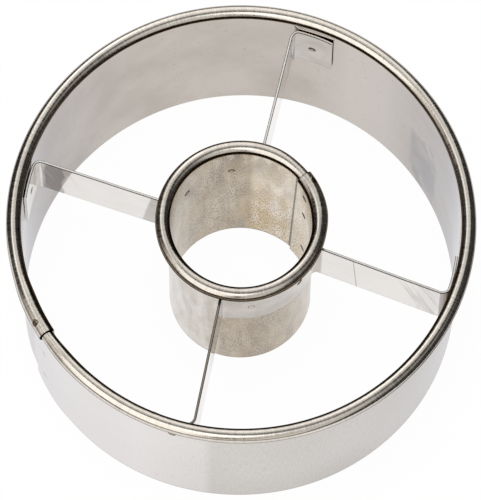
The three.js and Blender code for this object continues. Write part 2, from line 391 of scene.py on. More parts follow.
def loft(loops, sheet_place, caps, loop_slots):
    """Closed sheet through a row of closed loops. Sheet place gives a loop's point its place on the sheet,
    and caps list an end's faces by their places in a loop."""
    count = len(loops[0])
    last = len(loops) - 1
    points = [point for loop in loops for point in loop]
    faces = []
    corners = []
    slots = []
    for ring in range(last):
        here = ring * count
        there = here + count
        for place in range(count):
            after = (place + 1) % count
            faces.append((here + place, here + after, there + after, there + place))
            corners += [sheet_place(ring, place), sheet_place(ring, place + 1)]
            corners += [sheet_place(ring + 1, place + 1), sheet_place(ring + 1, place)]
            slots.append(loop_slots[place])
    for cap in caps:
        faces.append(cap[::-1])
        corners += [sheet_place(0, place) for place in cap[::-1]]
        faces.append(tuple(last * count + place for place in cap))
        corners += [sheet_place(last, place) for place in cap]
        slots += [loop_slots[cap[0]]] * 2
    return points, faces, corners, slots


def button(surface, rows, slot, flip=False):
    """Round button on a surface. Rows give its reach from its middle and how far it stands proud there."""
    turn = -math.tau / PRINT_SIDES if flip else math.tau / PRINT_SIDES

    def sheet_place(row, side):
        return polar(rows[row][0], turn * side).xy

    loops = []
    for row, (_, proud) in enumerate(rows):
        loops.append([surface(*sheet_place(row, side), proud) for side in range(PRINT_SIDES)])
    return loft(loops, sheet_place, [tuple(range(PRINT_SIDES))], [slot] * PRINT_SIDES)


def print_rows(diameter, proud=PRINT_PROUD):
    """Section of a weld's print: a low raised ring round a shallow dish."""
    radius = diameter / 2
    return [(radius, -PRINT_SUNK)] + [(reach * radius, rise * proud) for reach, rise in PRINT_SECTION]


# Hoops


def wall_drift(angle, height, wall, spring):
    """How far the thin wall strays from a true cylinder. The rolled rim holds it true at the top."""
    free = max(0.0, 1.0 - height / bead_height)
    place = polar(wall, angle, height)
    drift = WALL_WAVE * noise.noise(place / WALL_WAVE_LENGTH) * min(1.0, free / RIM_HOLD)
    for lobes, depth, turn in spring:
        drift += free * depth * math.cos(lobes * (angle - math.radians(turn)))
    return drift


def wall_surface(radius, angle, height, side, wall, spring, seat=0.0):
    """Places near a spot on a round wall: along it, up it, and proud on its outer (1) or inner (-1) side."""
    def spot(along, up, proud):
        around = angle + along / radius
        rise = height + up
        reach = radius + seat + side * proud + wall_drift(around, rise, wall, spring)
        return polar(reach, around, rise)
    return spot


def sleeve_surface(wall, angle, tilt):
    """Places near a spot on the sleeve of the rolled rim: along it, up it, and proud of it."""
    def spot(along, up, proud):
        around = angle + along / wall
        lean = tilt - up / bead_radius
        curl = bead_radius + SLEEVE_RISE + proud
        reach = wall + bead_radius + curl * math.sin(lean)
        rise = bead_height + curl * math.cos(lean)
        return polar(reach, around, rise)
    return spot


def curl_angles():
    mouth = tuck_depth + RING_SHEET + RIM_MOUTH - bead_radius
    rolled_edge = -math.acos(mouth / (bead_radius + SLEEVE_RISE))
    return [mix(math.pi, rolled_edge, step / CURL_STEPS) for step in range(CURL_STEPS + 1)]


def hoop_sheet(wall, grow):
    """The two faces of the hoop's sheet, as radius and height, from the cutting edge to the rolled edge."""
    axis = wall + bead_radius
    faces = []
    for curl, groove in ((bead_radius + grow, CREASE_DEPTH), (bead_radius + grow - RING_SHEET, 0.0)):
        face = []
        for row in range(WALL_ROWS):
            face.append((axis - curl, bead_height * row / WALL_ROWS))
        for angle in curl_angles():
            tilt = math.degrees(angle) - 90.0
            dip = groove * math.exp(-((tilt - CREASE_TILT) / CREASE_WIDTH) ** 2)
            reach = curl - dip
            face.append((axis + reach * math.cos(angle), bead_height + reach * math.sin(angle)))
        faces.append(face)
    return faces


def hoop_across():
    """Places across the hoop's sheet, up the face that shows and down the other."""
    up = [bead_height * row / WALL_ROWS for row in range(WALL_ROWS)]
    up += [bead_height + bead_radius * (math.pi - angle) for angle in curl_angles()]
    down = [2 * up[-1] - place for place in reversed(up)]
    return up + down + [down[-1] + RING_SHEET]


def hoop_stations(wall, seam, step):
    """Angles round the hoop, from its tucked to its covering end, and how far the sheet stands out there."""
    overlap = SEAM_OVERLAP / wall
    relief = SEAM_RELIEF / wall
    ramp = SEAM_RAMP / wall
    tucked_end = seam - overlap
    lap_start = tucked_end + math.tau
    keys = [
        (tucked_end, -tuck_depth),
        (seam + relief, -tuck_depth),
        (seam + relief + ramp, 0.0),
        (lap_start - relief - ramp, 0.0),
        (lap_start - relief, SLEEVE_RISE),
        (seam + math.tau, SLEEVE_RISE),
    ]
    stations = [keys[0]]
    for (start, low), (end, high) in zip(keys, keys[1:]):
        count = math.ceil((end - start) / step)
        for part in range(1, count + 1):
            share = part / count
            stations.append((mix(start, end, share), mix(low, high, smooth_step(share))))
    return stations


def seam_prints(wall, seam, spring, heights, slot, tack_slot):
    """Prints of the lap's welds, on the covering sheet inside and on the tucked sheet outside."""
    angle = seam - SEAM_PRINT_INSET / wall
    inside = wall - SLEEVE_RISE
    outside = wall + tuck_depth + RING_SHEET
    parts = []
    for height in heights:
        inner = wall_surface(inside, angle, height, -1, wall, spring)
        outer = wall_surface(outside, angle, height, 1, wall, spring)
        parts.append(button(inner, print_rows(PRINT_DIAMETER), slot, flip=True))
        parts.append(button(outer, print_rows(PRINT_DIAMETER), slot))
    tack = sleeve_surface(wall, seam - TACK_INSET / wall, math.radians(TACK_TILT))
    parts.append(button(tack, print_rows(TACK_DIAMETER, TACK_PROUD), tack_slot))
    return parts


def hoop(name, wall, seam_degrees, lean, step_degrees, spring, prints, materials):
    """One hoop. Lean is how far its covering end strays, and prints are the heights of its lap's welds."""
    seam = math.radians(seam_degrees)
    loops = []
    along = []
    for angle, grow in hoop_stations(wall, seam, math.radians(step_degrees)):
        shown, hidden = hoop_sheet(wall, grow)
        lapped = max(0.0, 1.0 - (seam + math.tau - angle) * wall / SEAM_OVERLAP)
        loop = []
        for radius, height in shown + hidden[::-1]:
            around = angle + smooth_step(lapped) * mix(*lean, height / HEIGHT) / wall
            reach = radius + wall_drift(around, height, wall, spring)
            loop.append(polar(reach, around, height))
        loops.append(loop)
        along.append(angle * wall)
    count = len(loops[0])
    half = count // 2
    caps = [(row, row + 1, count - 2 - row, count - 1 - row) for row in range(half - 1)]
    bore, outside, rim, weld_print, tack_print = range(5)
    across = hoop_across()
    loop_slots = []
    for place in range(count):
        if place < half:
            loop_slots.append(bore if across[place] < crease_place - CREASE_SHADE - CREASE_FADE else rim)
        else:
            loop_slots.append(outside if count - 1 - place < WALL_ROWS else rim)
    parts = [loft(loops, lambda ring, place: (along[ring], across[place]), caps, loop_slots)]
    parts += seam_prints(wall, seam, spring, prints, weld_print, tack_print)
    put_in_place(build_mesh(name, parts, materials), name)


# Straps


def arc_points(centre, radius, start, end, count):
    """Points and left-hand normals on an arc, run from start to end."""
    side = 1.0 if end > start else -1.0
    row = []
    for part in range(count + 1):
        angle = mix(start, end, part / count)
        out = polar(1.0, angle)
        row.append((centre + out * radius, -side * out))
    return row


def strap_turns(spread, offset):
    """Angles from the strap's middle to the bends at its band and its foot, and to the foot's start."""
    band_across = offset - bend_radius
    band_along = math.sqrt((band_radius + bend_radius) ** 2 - band_across ** 2)
    foot_across = offset + bend_radius
    foot_along = math.sqrt((foot_radius - bend_radius) ** 2 - foot_across ** 2)
    band_turn = spread + math.atan2(band_across, band_along)
    foot_turn = spread + math.atan2(foot_across, foot_along)
    return band_turn, foot_turn, spread + math.asin(offset / foot_radius)


def strap_half(spread, offset, foot_flare):
    """Stations along half a strap, from +X on: point, left-hand normal, and shares of foot and free leg."""
    band_turn, foot_turn, foot_root = strap_turns(spread, offset)
    foot_end = foot_root + FOOT_LENGTH / foot_radius
    square = math.pi / 2
    band_centre = polar(band_radius + bend_radius, band_turn)
    foot_centre = polar(foot_radius - bend_radius, foot_turn)
    origin = Vector((0.0, 0.0, 0.0))
    band = arc_points(origin, band_radius, 0.0, band_turn, BAND_STEPS)
    band_bend = arc_points(band_centre, bend_radius, band_turn + math.pi, spread + square, BEND_STEPS)
    foot_bend = arc_points(foot_centre, bend_radius, spread - square, foot_turn, BEND_STEPS)
    foot = arc_points(origin, foot_radius, foot_turn, foot_end, FOOT_STEPS)
    half = [(point, normal, 0.0, 0.0) for point, normal in band + band_bend[1:]]
    leg_start, leg_normal = band_bend[-1]
    leg_end = foot_bend[0][0]
    for part in range(1, LEG_STEPS):
        share = part / LEG_STEPS
        half.append((leg_start.lerp(leg_end, share), leg_normal, 0.0, math.sin(math.pi * share)))
    for part, (point, normal) in enumerate(foot_bend):
        half.append((point, normal, smooth_step(part / BEND_STEPS), 0.0))
    for part in range(1, FOOT_STEPS + 1):
        point, normal = foot[part]
        flare = foot_flare * (part / FOOT_STEPS) ** FLARE_POWER
        half.append((point + normal * flare, normal, 1.0, 0.0))
    return half


def strap_line(spread, offset, flares):
    """Stations along the whole strap, with its middle on +X."""
    mirrored = []
    for point, normal, foot_share, leg_share in reversed(strap_half(spread, offset, flares[0])[1:]):
        flipped_point = Vector((point.x, -point.y, 0.0))
        flipped_normal = Vector((normal.x, -normal.y, 0.0))
        mirrored.append((flipped_point, flipped_normal, foot_share, leg_share))
    return mirrored + strap_half(spread, offset, flares[1])


def strap_section():
    """Outline of the strap's section as distances along the normal and up, and the slots of its steps."""
    half_width = STRAP_WIDTH / 2
    flat = half_width - STRAP_EDGE_ROUND - STRAP_EDGE_MARGIN
    outline = []
    slots = []
    for side, end, start in ((1, 1, 0.0), (-1, 1, 90.0), (-1, -1, 180.0), (1, -1, 270.0)):
        middle = (side * (half_sheet - STRAP_EDGE_ROUND), end * (half_width - STRAP_EDGE_ROUND))
        for step in range(EDGE_STEPS + 1):
            angle = math.radians(start + 90.0 * step / EDGE_STEPS)
            across = middle[0] + STRAP_EDGE_ROUND * math.cos(angle)
            up = middle[1] + STRAP_EDGE_ROUND * math.sin(angle)
            outline.append((across, up))
            slots.append(STRAP_SHADED_CORNER_SLOT)
        if side == end:
            slots[-1] = STRAP_EDGE_SLOT
        else:
            for row in range(FACE_ROWS + 1):
                height = flat * (1 - 2 * row / FACE_ROWS)
                outline.append((side * half_sheet, -side * height))
                slots.append(STRAP_FACE_SLOT)
            slots[-1] = STRAP_SHADED_CORNER_SLOT
    return outline, slots


def running_length(points):
    """Length along a row from its first point to each point."""
    lengths = [0.0]
    for here, there in zip(points, points[1:]):
        lengths.append(lengths[-1] + (Vector(there) - Vector(here)).length)
    return lengths


def strap(name, shape, materials):
    line = strap_line(math.radians(shape["spread"]), shape["offset"], shape["flares"])
    spin = Quaternion((0.0, 0.0, 1.0), math.radians(shape["turn"]))
    section, slots = strap_section()
    loops = []
    for point, normal, foot, leg in line:
        centre = spin @ point
        side = spin @ normal
        angle = math.atan2(centre.y, centre.x)
        outward = polar(1.0, angle)
        loop = []
        for across, up in section:
            height = strap_middle + up
            seat = foot * (FOOT_SEAT + wall_drift(angle, height, outer_wall, OUTER_SPRING))
            place = (centre + Vector((0.0, 0.0, height))) / LEG_WAVE_LENGTH
            wave = leg * LEG_WAVE * noise.noise(place)
            spot = centre + side * (across + wave) + outward * seat
            loop.append(Vector((spot.x, spot.y, height)))
        loops.append(loop)
    lengths = running_length([station[0] for station in line])
    along = [length - lengths[-1] / 2 for length in lengths]
    across = running_length(section + section[:1])
    first_edge = slots.index(STRAP_EDGE_SLOT)
    cap = tuple((first_edge + place) % len(section) for place in range(len(section)))
    part = loft(loops, lambda ring, place: (along[ring], across[place]), [cap], slots)
    put_in_place(build_mesh(name, [part], materials), name)


# Spot welds


def weld(name, angle, wall, spring, nugget, inner_show, outer_show, seats, materials):
    """Nugget between two sheets, with the round print of the electrode on both faces that show."""
    start, end = nugget
    core = wall_surface(start, angle, strap_middle, 1, wall, ())
    inner = wall_surface(inner_show, angle, strap_middle, -1, wall, spring, seats[0])
    outer = wall_surface(outer_show, angle, strap_middle, 1, wall, spring, seats[1])
    parts = [
        button(core, [(WELD_DIAMETER / 2, 0.0), (WELD_DIAMETER / 2, end - start)], 0),
        button(inner, print_rows(PRINT_DIAMETER), 0, flip=True),
        button(outer, print_rows(PRINT_DIAMETER), 0),
    ]
    put_in_place(build_mesh(name, parts, materials), name)


def strap_welds(shape, materials):
    """The four welds of a strap, on its band and in the middles of its feet."""
    turn = math.radians(shape["turn"])
    _, _, foot_root = strap_turns(math.radians(shape["spread"]), shape["offset"])
    foot_weld = foot_root + FOOT_LENGTH / foot_radius / 2
    band_nugget = (inner_wall + RING_SHEET, band_radius - half_sheet)
    foot_nugget = (foot_radius + half_sheet, outer_wall)
    print_end = (FOOT_LENGTH + PRINT_DIAMETER) / 2 / FOOT_LENGTH
    for end, side, flare in zip(shape["ends"], (-1, 1), shape["flares"]):
        foot_seat = FOOT_SEAT - flare * print_end ** FLARE_POWER
        band_angle = turn + side * math.radians(BAND_WELD_ANGLE)
        foot_angle = turn + side * foot_weld
        weld(f"{end}_band_weld", band_angle, inner_wall, INNER_SPRING, band_nugget,
             inner_wall, band_radius + half_sheet, (0.0, 0.0), materials)
        weld(f"{end}_foot_weld", foot_angle, outer_wall, OUTER_SPRING, foot_nugget,
             foot_radius - half_sheet, outer_wall + RING_SHEET, (foot_seat, 0.0), materials)


# Materials


def add_node(owner, kind, sockets, **settings):
    """Node in the tree of a material, or of a socket that feeds it."""
    tree = owner.node_tree if isinstance(owner, bpy.types.Material) else owner.id_data
    made = tree.nodes.new(kind)
    for name, value in settings.items():
        setattr(made, name, value)
    for name, value in sockets.items():
        if isinstance(value, bpy.types.NodeSocket):
            tree.links.new(value, made.inputs[name])
        else:
            made.inputs[name].default_value = value
    return made


def new_material(name):
    material = bpy.data.materials.new(name)
    material.use_nodes = True
    material.node_tree.nodes.clear()
    return material


def grey(level):
    return (level, level, level, 1.0)


def on_sheet(material):
    """Place on the sheet, as metres along and across it."""
    return add_node(material, "ShaderNodeUVMap", {}, uv_map=SHEET_UV).outputs["UV"]


def in_space(material):
    return add_node(material, "ShaderNodeTexCoord", {}).outputs["Object"]


def split(place):
    return add_node(place, "ShaderNodeSeparateXYZ", {"Vector": place}).outputs[:]


def arithmetic(operation, first, second=0.0):
    return add_node(first, "ShaderNodeMath", {0: first, 1: second}, operation=operation).outputs["Value"]


def plus(first, second):
    return arithmetic("ADD", first, second)


def minus(first, second):
    return arithmetic("SUBTRACT", first, second)


def times(first, second):
    return arithmetic("MULTIPLY", first, second)


def remap(value, low, high, from_low=NOISE_RANGE[0], from_high=NOISE_RANGE[1]):
    """Value that runs from low to high while the given one runs over its own range."""
    made = add_node(value, "ShaderNodeMapRange", {
        "Value": value, "From Min": from_low, "From Max": from_high, "To Min": low, "To Max": high})
    return made.outputs["Result"]


def noise_at(place, scale, octaves):
    made = add_node(place, "ShaderNodeTexNoise", {
        "Vector": place, "Scale": scale, "Detail": octaves, "Roughness": NOISE_ROUGHNESS})
    return made.outputs["Fac"]


def space_cloud(material, lobes, octaves=3.0):
    return noise_at(in_space(material), lobes, octaves)


def stretched_cloud(place, lobes, octaves=3.0):
    scaled = add_node(place, "ShaderNodeMapping", {"Vector": place, "Scale": (*lobes, 1.0)})
    return noise_at(scaled.outputs["Vector"], 1.0, octaves)


def sheet_cloud(material, lobes, octaves=3.0):
    return stretched_cloud(on_sheet(material), lobes, octaves)


def mixed_tone(first, second, part):
    """Tone from two noises, of which the first makes this part."""
    return plus(remap(first, 0.0, part), remap(second, 0.0, 1.0 - part))


def ragged(place, cloud, stray):
    """Place that a noise moves to and fro."""
    return plus(place, remap(cloud, -stray, stray))


def between(value, start, end, blend):
    """Share that is 1 from start to end and fades out over the blend on both sides."""
    rise = remap(value, 0.0, 1.0, start - blend, start)
    fall = remap(value, 1.0, 0.0, end, end + blend)
    return times(rise, fall)


def sector(material, start, end, blend):
    """Share that is 1 between two angles round Z, in degrees, and fades out over the blend on both sides."""
    middle = math.radians(start + end) / 2
    reach = math.radians(end - start) / 2
    turned = add_node(material, "ShaderNodeVectorRotate", {
        "Vector": in_space(material), "Angle": -middle}, rotation_type="Z_AXIS")
    right, back, _ = split(turned.outputs["Vector"])
    away = arithmetic("ABSOLUTE", arithmetic("ARCTAN2", back, right))
    return remap(away, 1.0, 0.0, reach, reach + math.radians(blend))


def tint(share, first, second):
    """Mixes two colours, each a colour or the outcome of an earlier mix."""
    ends = [value if isinstance(value, bpy.types.NodeSocket) else (*value, 1.0) for value in (first, second)]
    made = add_node(share, "ShaderNodeMix", {0: share, 6: ends[0], 7: ends[1]}, data_type="RGBA")
    return made.outputs[2]


def specks(material, colour, lobes, share, brown):
    """Colour with fine brown specks."""
    return tint(remap(space_cloud(material, lobes, octaves=2.0), *share), colour, brown)


def cut_line(material, colour, share, brown):
    """Colour with a brown line along the cutting edge."""
    _, _, height = split(in_space(material))
    return tint(remap(height, *share), colour, brown)


def metal(material, colour, roughness, relief, depth, anisotropy=0.0, glance=WHITE):
    """Finishes a metal. Depth is how far its fine relief reaches, anisotropy how far the sheen spreads along
    it, and glance the tint of the sheet where it is seen at a shallow angle."""
    bump = add_node(material, "ShaderNodeBump", {"Height": relief, "Strength": 1.0, "Distance": depth})
    sockets = {
        "Base Color": colour,
        "Roughness": roughness,
        "Normal": bump.outputs["Normal"],
        "Metallic": 1.0,
        "Anisotropic": anisotropy,
        "Specular Tint": (*glance, 1.0),
    }
    if anisotropy:
        tangent = add_node(material, "ShaderNodeTangent", {}, direction_type="UV_MAP", uv_map=SHEET_UV)
        sockets["Tangent"] = tangent.outputs["Tangent"]
    shader = add_node(material, "ShaderNodeBsdfPrincipled", sockets)
    add_node(material, "ShaderNodeOutputMaterial", {"Surface": shader.outputs["BSDF"]})
    return material


def bright_sheet(name, dull, bright, mirrored_shadow, clear, roughness, glance):
    """Bright rolled sheet with faint warm clouds, small smudges, a painted brighter reflection in one
    sector, a patch of painted reflected shadow and specks.
    """
    steel = new_material(name)
    smudges = space_cloud(steel, INSIDE_SMUDGE_LOBES, octaves=5.0)
    clouds = remap(space_cloud(steel, INSIDE_CLOUD_LOBES), 0.0, 1.0)
    colour = tint(clouds, dull, bright)
    colour = tint(sector(steel, *LIT_REFLECTION_SECTOR), colour, clear)
    _, across, _ = split(on_sheet(steel))
    height = ragged(across, space_cloud(steel, MIRRORED_SHADOW_EDGE_LOBES), MIRRORED_SHADOW_EDGE_STRAY)
    shadow_patch = times(sector(steel, *MIRRORED_SHADOW_SECTOR), between(height, *MIRRORED_SHADOW_SPAN))
    uneven = remap(space_cloud(steel, MIRRORED_SHADOW_LOBES), *MIRRORED_SHADOW_SHARE)
    colour = tint(times(shadow_patch, uneven), colour, mirrored_shadow)
    colour = specks(steel, colour, *INSIDE_SPECKS)
    return metal(steel, colour, remap(smudges, *roughness), smudges, LARGE_RELIEF, glance=glance)


def satin_sheet(name, dull, bright, lit_dull, lit_bright, roughness, glance):
    """Sheet with fine upright grain and a few specks, brighter in a sector of painted light."""
    steel = new_material(name)
    grain = sheet_cloud(steel, OUTSIDE_GRAIN_LOBES)
    clouds = space_cloud(steel, OUTSIDE_CLOUD_LOBES, octaves=1.0)
    tone = mixed_tone(grain, clouds, OUTSIDE_GRAIN_PART)
    # Painted light: a brighter sector in place of a brighter reflection
    slow = times(sector(steel, *LIT_SLOW), 1.0 - LIT_STEP_PART)
    step = times(sector(steel, *LIT_STEP), LIT_STEP_PART)
    lit_tone = tint(tone, lit_dull, lit_bright)
    colour = tint(plus(slow, step), tint(tone, dull, bright), lit_tone)
    colour = specks(steel, colour, *OUTSIDE_SPECKS)
    colour = cut_line(steel, colour, *OUTSIDE_CUT)
    return metal(steel, colour, remap(grain, *roughness), grain, LARGE_RELIEF, glance=glance)


def rolled_rim(name, dull, bright, root, sleeve, under_sector):
    """Polished rolled rim with fine marks across it, painted shade as dark lines in the crease where the
    curl starts and at the sleeve's end, and painted shade under the curl in one sector. Sleeve gives that
    end's places along the sheet, first on the rim that it covers."""
    steel = new_material(name)
    along, across, _ = split(on_sheet(steel))
    marks = sheet_cloud(steel, RIM_MARK_LOBES)
    tone = mixed_tone(marks, space_cloud(steel, RIM_CLOUD_LOBES), RIM_MARK_PART)
    place = ragged(across, space_cloud(steel, RIM_EDGE_LOBES), RIM_EDGE_STRAY)
    curl = remap(place, 0.0, 1.0, crease_place - CREASE_FADE, crease_place)
    colour = tint(curl, root, tint(tone, dull, bright))
    start = crease_place - CREASE_SHADE
    end = crease_place + CREASE_SHADE
    # Painted shade: a dark line in the crease, wider in one sector, in place of its shadow and dark
    # reflection
    wider = times(sector(steel, *CREASE_WIDE_SECTOR), CREASE_WIDER)
    rise = remap(place, 0.0, 1.0, start - CREASE_FADE, start)
    fall = remap(minus(place, wider), CREASE_SHARE, 0.0, end, end + CREASE_FADE)
    colour = tint(times(rise, fall), colour, CREASE_BLACK)
    # Painted shade: dark lines at the sleeve's end and beside it, in place of the shadow at the step
    covered, covering = sleeve
    edge = remap(along, 0.0, 1.0, *[covering - inset for inset in SLEEVE_EDGE])
    shadow = between(minus(along, covered), *SLEEVE_SHADOW_SPAN)
    colour = tint(arithmetic("MAXIMUM", edge, shadow), colour, SLEEVE_BLACK)
    # Painted shade under the curl, in one sector, in place of the shadow and dark reflection there
    under = remap(place, 0.0, UNDER_SHARE, under_place - CREASE_FADE, under_place + CREASE_FADE)
    under = times(under, sector(steel, *under_sector))
    colour = tint(under, colour, UNDER_BLACK)
    rough = remap(marks, *RIM_ROUGHNESS)
    return metal(steel, colour, rough, marks, RIM_RELIEF, RIM_ANISOTROPY, DIM_GLANCE)


def mottled_sheet(name, dull, bright, stain, stain_sector, clean, clean_sector, dark_patches, lap, roughness):
    """Duller sheet with clouds, upright bands and fine grain, brown specks and stains low in one sector, a
    clean sector, darker brown patches (painted shade low in the small hoop's hole), and a painted shadow
    line at the lap. Lap gives the line's start, end and lean, and where the painted shade at the edge fades
    in."""
    steel = new_material(name)
    along, across, _ = split(on_sheet(steel))
    grain = sheet_cloud(steel, MOTTLE_GRAIN_LOBES, octaves=2.0)
    clouds = sheet_cloud(steel, MOTTLE_CLOUD_LOBES, octaves=6.0)
    bands = sheet_cloud(steel, MOTTLE_BAND_LOBES, octaves=2.0)
    tone = remap(clouds, *MOTTLE_CLOUD_TONE)
    tone = plus(tone, remap(grain, *MOTTLE_GRAIN_TONE))
    tone = plus(tone, remap(bands, *MOTTLE_BAND_TONE))
    colour = tint(tone, dull, bright)
    cleaned = times(sector(steel, *clean_sector), remap(clouds, *CLEAN_SHARE))
    colour = tint(cleaned, colour, clean)
    height = ragged(across, clouds, PATCH_EDGE_STRAY)
    # Darker brown patches; the small hoop's first one, low in the hole, is painted shade
    for patch_sector, heights, share in dark_patches:
        darkening = between(height, *heights, PATCH_HEIGHT_BLEND)
        darkening = times(darkening, sector(steel, *patch_sector, PATCH_SECTOR_BLEND))
        colour = tint(times(darkening, share), colour, PATCH_BROWN)
    low = remap(across, *STAIN_HEIGHT_SHARE)
    low = times(low, sector(steel, *stain_sector))
    low = remap(low, STAIN_LEAST, 1.0, 0.0, 1.0)
    patches = remap(sheet_cloud(steel, STAIN_LOBES, octaves=4.0), *STAIN_SHARE)
    colour = tint(times(patches, low), colour, stain)
    dots = remap(grain, *STAIN_SPECK_SHARE)
    colour = tint(times(dots, low), colour, STAIN_SPECK_BROWN)
    # Painted shade: a dark line at the lap and at the covering edge, in place of the shadow in the lap
    shadow_start, shadow_end, lean, edge = lap
    upright = minus(along, remap(across, *lean, 0.0, HEIGHT))
    shadow = between(upright, shadow_start, shadow_end, LAP_BLEND)
    dark_mark = arithmetic("MAXIMUM", shadow, remap(along, 0.0, 1.0, *edge))
    dark_mark = times(dark_mark, remap(grain, *LAP_SHARE))
    colour = tint(dark_mark, colour, LAP_BLACK)
    colour = cut_line(steel, colour, *MOTTLE_CUT)
    return metal(steel, colour, remap(grain, *roughness), grain, MOTTLE_RELIEF)


def strip_face(name, end_shade, streak, band_reach, band_slant=0.0):
    """Mirror-like strip with faint lines along it, darker where it is bent and welded to the hoops, with a
    painted reflection line and painted shade on two of the legs, and with painted shade and slanting streaks
    of painted reflection at their outer ends."""
    steel = new_material(name)
    along, across, _ = split(on_sheet(steel))
    lines = sheet_cloud(steel, STRIP_LINE_LOBES)
    clouds = space_cloud(steel, STRIP_CLOUD_LOBES, octaves=4.0)
    colour = tint(mixed_tone(lines, clouds, STRIP_LINE_PART), STRIP_DULL, STRIP_BRIGHT)
    reach = arithmetic("ABSOLUTE", along)
    # Painted shade at the outer end, in place of the reflection of the dark wall
    shaded = between(ragged(reach, clouds, END_SHADE_STRAY), *END_SHADE_SPAN)
    colour = tint(shaded, colour, end_shade)
    # Slanting streaks of painted reflection
    slanting = minus(reach, times(across, STREAK_SLANT))
    flow = add_node(steel, "ShaderNodeCombineXYZ", {"X": slanting, "Y": across}).outputs["Vector"]
    streaks = remap(stretched_cloud(flow, STREAK_LOBES), *STREAK_SHARE)
    ending = remap(ragged(reach, clouds, STREAK_STRAY), *STREAK_REACH_SHARE)
    colour = tint(times(streaks, ending), colour, streak)
    # Painted reflection line on the right leg
    leaning = minus(reach, times(across, REFLECTION_LINE_SLANT))
    reflection_line = times(sector(steel, *REFLECTION_LINE_SECTOR), between(leaning, *REFLECTION_LINE_SPAN))
    colour = tint(reflection_line, colour, STRIP_DARK)
    # Painted shade on the front leg
    shade = times(sector(steel, *SHADED_SECTOR), remap(reach, *SHADED_REACH_SHARE))
    colour = tint(shade, colour, STRIP_DARK)
    _, _, height = split(in_space(steel))
    below = remap(height, STRAP_WIDTH, 0.0, strap_bottom, strap_top)
    root = minus(reach, times(below, band_slant))
    past_band = remap(root, 0.0, 1.0, band_reach - BAND_BLEND, band_reach)
    before_foot = remap(reach, 1.0, 0.0, LEG_REACH, LEG_REACH + BAND_BLEND)
    darker = tint(remap(clouds, *DARK_BAND_SHARE), STRIP_DARK, STRIP_BRIGHT)
    colour = tint(times(past_band, before_foot), darker, colour)
    return metal(steel, colour, remap(clouds, *STRIP_ROUGHNESS), lines, STRIP_RELIEF)


def cut_edge(name, dull, bright, dark_mark, roughness):
    """Sheared edge of the strip, with its tear marks across the thickness, darker in one sector."""
    steel = new_material(name)
    marks = sheet_cloud(steel, EDGE_MARK_LOBES, octaves=4.0)
    colour = tint(remap(marks, 0.0, 1.0), dull, bright)
    colour = tint(sector(steel, *EDGE_DARK_SECTOR), colour, dark_mark)
    return metal(steel, colour, remap(marks, *roughness), marks, EDGE_RELIEF)


def weld_mark(name, host, burnt, ring, low_share, roughness, glance):
    """Spot weld with a ragged brown ring of heat tint that fades into the sheet round it, darker in its
    upper half as painted shade of the print's upper edge. Ring gives its inner and outer reach and how far
    it fades, low share how much of it shows in its lower half."""
    steel = new_material(name)
    sheet = on_sheet(steel)
    rags = space_cloud(steel, WELD_RAG_LOBES, octaves=4.0)
    reach = add_node(steel, "ShaderNodeVectorMath", {0: sheet}, operation="LENGTH").outputs["Value"]
    place = ragged(reach, rags, WELD_RAG_STRAY)
    share = times(between(place, *ring), remap(rags, *WELD_RAG_SHARE))
    _, up, _ = split(sheet)
    # Painted shade: the ring shows less in its lower half
    upper_shade = remap(up, low_share, 1.0, *WELD_UPPER_SHADE_RISE)
    colour = tint(times(share, upper_shade), host, burnt)
    return metal(steel, colour, remap(rags, *roughness), rags, WELD_RELIEF, glance=glance)


# Stage


def camera_frame(azimuth, elevation):
    """Unit vector from the object towards a place, in the photograph's own left, right, near and far."""
    turn = math.radians(azimuth + PHOTO_AZIMUTH)
    rise = math.radians(elevation)
    return Vector((math.sin(turn) * math.cos(rise), -math.cos(turn) * math.cos(rise), math.sin(rise)))


def add_camera():
    toward = camera_frame(0.0, PHOTO_ELEVATION)
    data = bpy.data.cameras.new("photo_camera")
    data.sensor_width = SENSOR_WIDTH
    data.lens = FOCAL_PIXELS * SENSOR_WIDTH / max(PHOTO_SIZE)
    camera = add_object("photo_camera", data)
    camera.location = PHOTO_AIM + toward * PHOTO_DISTANCE
    roll = Quaternion((0.0, 0.0, 1.0), math.radians(PHOTO_ROLL))
    camera.rotation_euler = (toward.to_track_quat("Z", "Y") @ roll).to_euler()
    bpy.context.scene.camera = camera


def add_panel(name, distance, azimuth, elevation, width, height, radiance, colour, mirrored=True):
    """Soft box that faces the object. Radiance is the brightness of its face."""
    toward = camera_frame(azimuth, elevation)
    data = bpy.data.lights.new(name, "AREA")
    data.shape = "RECTANGLE"
    data.size = width
    data.size_y = height
    data.energy = radiance * math.pi * width * height
    data.color = colour
    lamp = add_object(name, data)
    lamp.location = toward * distance
    lamp.rotation_euler = toward.to_track_quat("Z", "Y").to_euler()
    lamp.visible_camera = False
    lamp.visible_glossy = mirrored


def add_sheet(name, corners, material):
    """Flat sheet of the stage."""
    mesh = bpy.data.meshes.new(name)
    mesh.from_pydata(corners, [], [(0, 1, 2, 3)])
    mesh.materials.append(material)
    return add_object(name, mesh)


